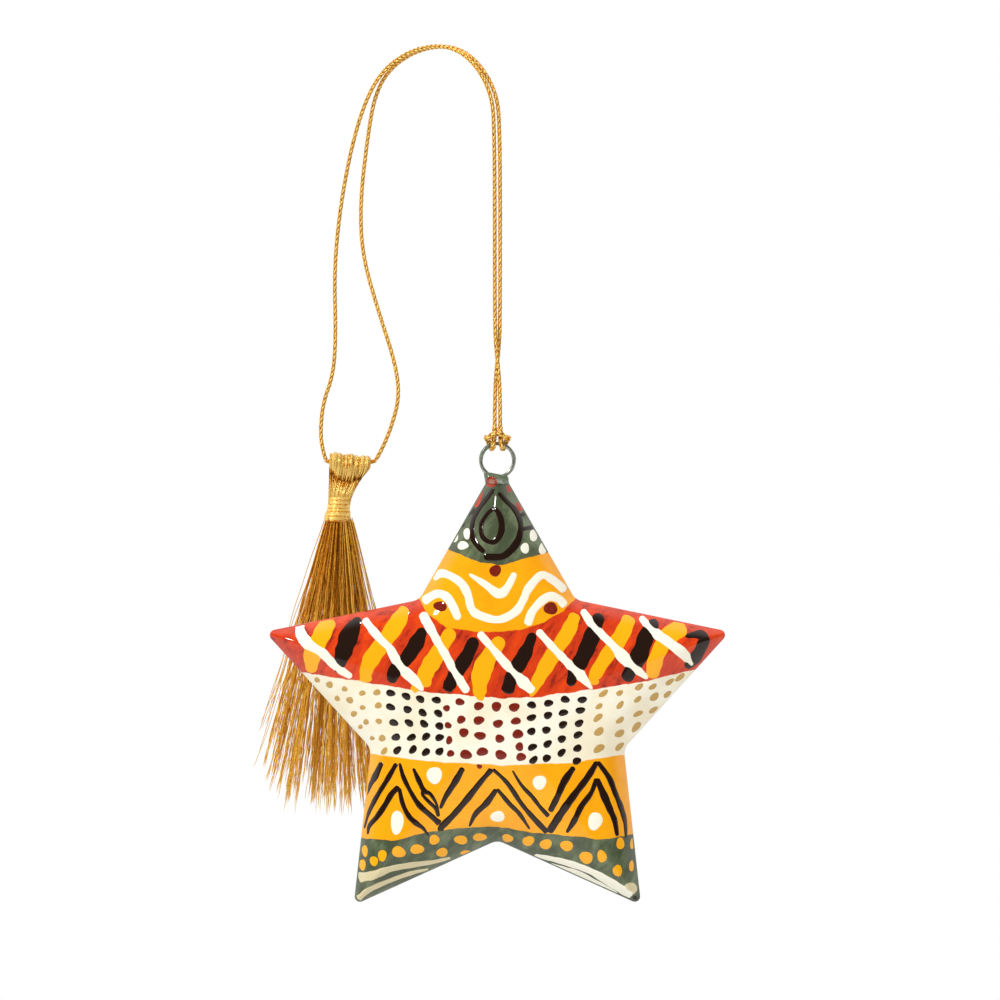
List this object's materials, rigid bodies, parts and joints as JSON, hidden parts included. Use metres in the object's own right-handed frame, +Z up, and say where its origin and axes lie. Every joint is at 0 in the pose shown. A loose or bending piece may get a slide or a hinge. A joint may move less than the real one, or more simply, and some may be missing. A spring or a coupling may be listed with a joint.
{
  "type": "hanging star ornament",
  "caption": "Painted tin star on a wire ring, hitched to a doubled gold cord that also carries a tassel and hangs from its bight.",
  "frame": {"origin": "underside of the cord's bight, where it rests on whatever the ornament hangs from", "axes": "+Z up along the hanging direction, the star's painted front faces -Y, +X to the right as seen from the front"},
  "size_m": [0.0836, 0.0331, 0.1467],
  "materials": {
    "painted_tin": "hand painted in bands under gloss varnish",
    "painted_solder": "painted solder under gloss varnish",
    "ring_wire": "steel wire with a thin wash of paint",
    "gold_cord": "braided metallic gold",
    "gold_thread": "metallic gold thread"
  },
  "bodies": {
    "cord": {"cord_strand_left": "gold_cord", "cord_strand_right": "gold_cord", "cord_join": "gold_cord"},
    "hitch": {"cord_hitch": "gold_cord"},
    "star": {"star_front_shell": "painted_tin", "star_back_shell": "painted_tin", "star_seam_solder": "painted_solder", "hanging_ring": "ring_wire", "ring_solder": "painted_solder"},
    "tassel": {"tassel_fold": "gold_thread", "tassel_binding": "gold_thread", "tassel_skirt": "gold_thread"}
  },
  "joints": [
    {"name": "hitch_swing", "type": "hinge", "parent": "cord", "child": "hitch", "pos_m": [0.0106, -0.009, -0.0655], "axis": [1, 0, 0], "range_deg": [-45, 4]},
    {"name": "ring_rock", "type": "hinge", "parent": "hitch", "child": "star", "pos_m": [0.0106, -0.009, -0.07072], "axis": [0, 1, 0], "range_deg": [-45, 45]},
    {"name": "tassel_swing", "type": "hinge", "parent": "cord", "child": "tassel", "pos_m": [-0.015, 0.011, -0.0711], "axis": [1, 0, 0], "range_deg": [-3, 60]}
  ]
}
